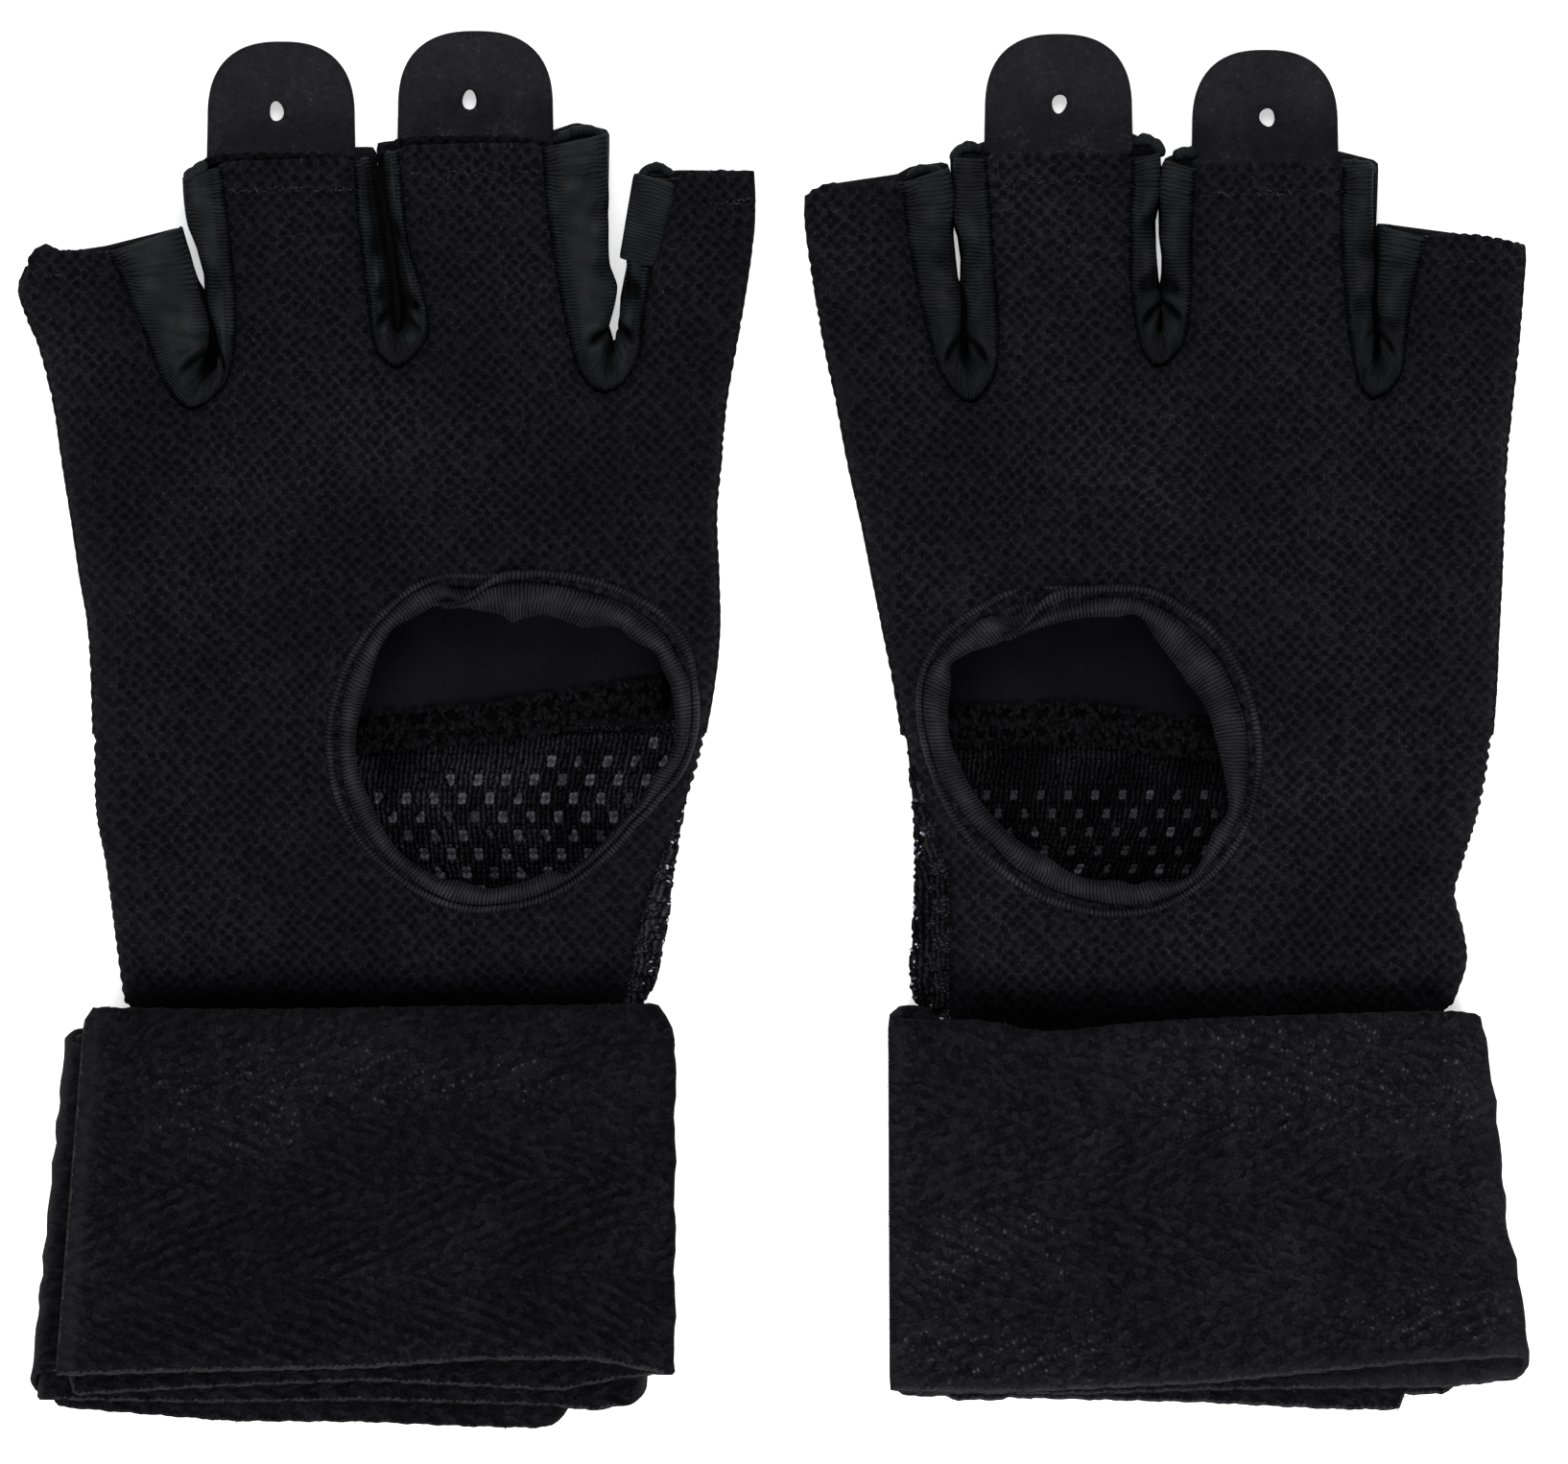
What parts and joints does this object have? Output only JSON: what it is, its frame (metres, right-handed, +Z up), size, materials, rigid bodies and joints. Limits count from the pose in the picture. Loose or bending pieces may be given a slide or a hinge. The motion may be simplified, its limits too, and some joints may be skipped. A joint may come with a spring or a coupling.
{
  "type": "pair of fingerless hand-wrap gloves",
  "caption": "Pair of black fingerless wrap gloves lying palm up, with bound thumb holes, ribbed finger sides, pull tabs and a wound herringbone wrist tape",
  "frame": {"origin": "the middle of the pair's box in X and Y, on the table in Z", "axes": "+X runs from the right-hand glove to the left-hand glove, +Y runs from the wrist to the fingers, +Z is up out of the palms"},
  "size_m": [0.199, 0.184, 0.0178],
  "materials": {
    "palm_knit": "matte knit with fine pits",
    "grosgrain": "satin ribbed ribbon",
    "back_cloth": "matte woven cloth",
    "foam": "matte closed-cell foam",
    "lining": "smooth brushed lining",
    "spacer_mesh": "open spacer mesh",
    "seam_tape": "overlocked thread and tape",
    "herringbone_tape": "herringbone twill tape",
    "loop": "brushed loop pile",
    "hook": "moulded hooks on woven ground",
    "tab_sheet": "matte rubbery sheet"
  },
  "bodies": {
    "right_glove": {"right_palm_panel": "palm_knit", "right_thumb_binding": "grosgrain", "right_back_shell": "back_cloth", "right_knuckle_pad": "foam", "right_pad_lining": "lining", "right_back_mesh": "spacer_mesh", "right_back_seam": "seam_tape", "right_little_ring_fourchette": "grosgrain", "right_ring_middle_fourchette": "grosgrain", "right_middle_index_fourchette": "grosgrain", "right_little_side_seam": "seam_tape", "right_thumb_side_seam": "seam_tape", "right_cuff_binding": "seam_tape", "right_ring_tab_root": "tab_sheet", "right_middle_tab_root": "tab_sheet", "right_wrap_coil": "herringbone_tape", "right_loop_patch": "loop"},
    "right_ring_tab": {"right_ring_tab": "tab_sheet"},
    "right_middle_tab": {"right_middle_tab": "tab_sheet"},
    "right_wrap_end": {"right_wrap_flap": "herringbone_tape", "right_hook_patch": "hook"},
    "left_glove": {"left_palm_panel": "palm_knit", "left_thumb_binding": "grosgrain", "left_back_shell": "back_cloth", "left_knuckle_pad": "foam", "left_pad_lining": "lining", "left_back_mesh": "spacer_mesh", "left_back_seam": "seam_tape", "left_index_middle_fourchette": "grosgrain", "left_middle_ring_fourchette": "grosgrain", "left_ring_little_fourchette": "grosgrain", "left_thumb_side_seam": "seam_tape", "left_little_side_seam": "seam_tape", "left_cuff_binding": "seam_tape", "left_middle_tab_root": "tab_sheet", "left_ring_tab_root": "tab_sheet", "left_wrap_coil": "herringbone_tape", "left_loop_patch": "loop"},
    "left_ring_tab": {"left_ring_tab": "tab_sheet"},
    "left_middle_tab": {"left_middle_tab": "tab_sheet"},
    "left_wrap_end": {"left_wrap_flap": "herringbone_tape", "left_hook_patch": "hook"}
  },
  "joints": [
    {"name": "left_glove_slide", "type": "slide", "parent": "right_glove", "child": "left_glove", "axis": [1, 0, 0], "range_m": [0, 0.15]},
    {"name": "right_ring_tab_bend", "type": "hinge", "parent": "right_glove", "child": "right_ring_tab", "pos_m": [-0.0649, 0.077, 0.002], "axis": [1, 0, 0], "range_deg": [0, 85]},
    {"name": "right_middle_tab_bend", "type": "hinge", "parent": "right_glove", "child": "right_middle_tab", "pos_m": [-0.0392, 0.079, 0.002], "axis": [1, 0, 0], "range_deg": [0, 85]},
    {"name": "left_middle_tab_bend", "type": "hinge", "parent": "left_glove", "child": "left_middle_tab", "pos_m": [0.0379, 0.0782, 0.002], "axis": [1, 0, 0], "range_deg": [0, 85]},
    {"name": "left_ring_tab_bend", "type": "hinge", "parent": "left_glove", "child": "left_ring_tab", "pos_m": [0.0652, 0.076, 0.002], "axis": [1, 0, 0], "range_deg": [0, 85]},
    {"name": "right_wrap_lift", "type": "hinge", "parent": "right_glove", "child": "right_wrap_end", "pos_m": [-0.0126, -0.061, 0.0169], "axis": [0, 1, 0], "range_deg": [0, 170]},
    {"name": "left_wrap_lift", "type": "hinge", "parent": "left_glove", "child": "left_wrap_end", "pos_m": [0.0962, -0.06035, 0.0169], "axis": [-0.143, 0.9897, 0], "range_deg": [0, 170]}
  ]
}
